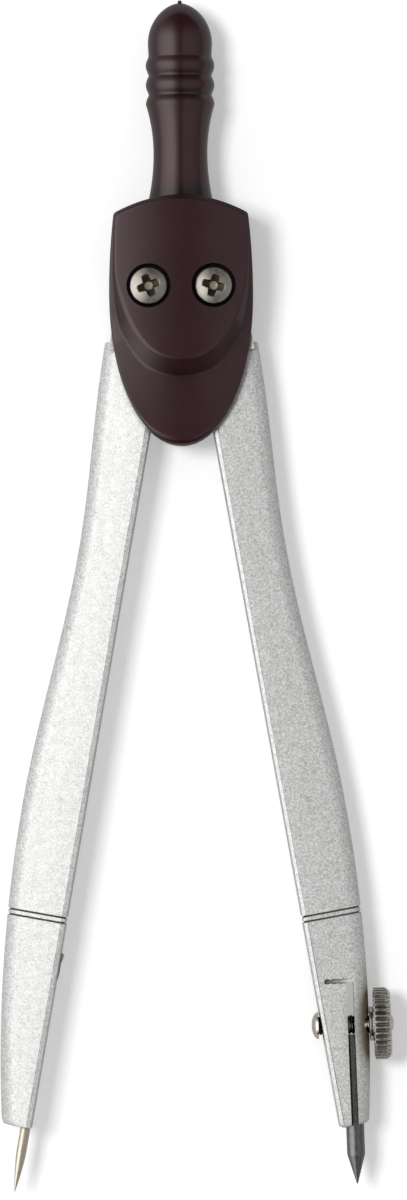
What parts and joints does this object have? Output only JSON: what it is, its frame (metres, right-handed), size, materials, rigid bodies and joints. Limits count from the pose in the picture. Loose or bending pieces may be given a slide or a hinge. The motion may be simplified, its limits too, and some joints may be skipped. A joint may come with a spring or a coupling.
{
  "type": "drawing compass",
  "caption": "School drawing compass with a geared head, a turned grip, a fixed needle, and a slotted lead clamp closed by a cross screw and a knurled nut.",
  "frame": {"origin": "on the flat raised back of the head, midway between the two pivots of the legs, with the compass lying on its back", "axes": "+Y from the legs towards the end of the grip, +Z out of the front of the head, +X towards the lead leg"},
  "size_m": [0.0437, 0.1324, 0.0089],
  "materials": {
    "burgundy_plastic": "dark burgundy moulded plastic, satin gloss",
    "silver_paint": "fine-grained silver paint on die-cast metal",
    "nickel_plate": "warm bright nickel plate",
    "needle_steel": "polished steel",
    "graphite": "dark graphite with a soft sheen",
    "washer_plastic": "unpainted friction washer"
  },
  "bodies": {
    "head": {"front_cover": "burgundy_plastic", "back_cover": "burgundy_plastic", "handle": "burgundy_plastic", "pivot_screw_left": "nickel_plate", "pivot_screw_right": "nickel_plate", "friction_washer_front_left": "washer_plastic", "friction_washer_front_right": "washer_plastic", "friction_washer_back_left": "washer_plastic", "friction_washer_back_right": "washer_plastic"},
    "needle_leg": {"needle_leg": "silver_paint", "needle": "needle_steel"},
    "lead_leg": {"lead_leg": "silver_paint", "clamp_screw": "nickel_plate"},
    "clamp_nut": {"knurled_nut": "nickel_plate"},
    "lead": {"pencil_lead": "graphite"}
  },
  "joints": [
    {"name": "lead_leg_swing", "type": "hinge", "parent": "head", "child": "lead_leg", "pos_m": [0.0036, 0, 0.00445], "axis": [0, 0, 1], "range_deg": [-10, 40]},
    {"name": "needle_leg_swing", "type": "hinge", "parent": "head", "child": "needle_leg", "pos_m": [-0.0036, 0, 0.00445], "axis": [0, 0, -1], "range_deg": [-10, 40]},
    {"name": "clamp_nut_turn", "type": "hinge", "parent": "lead_leg", "child": "clamp_nut", "pos_m": [0.01845, -0.08207, 0.00445], "axis": [0.9994, 0.0349, 0], "range_deg": [0, 720]},
    {"name": "lead_slide", "type": "slide", "parent": "lead_leg", "child": "lead", "axis": [0.0349, -0.9994, 0], "range_m": [0, 0.009]}
  ],
  "couplings": [
    {"joint": "needle_leg_swing", "follows": "lead_leg_swing", "ratio": 1}
  ]
}
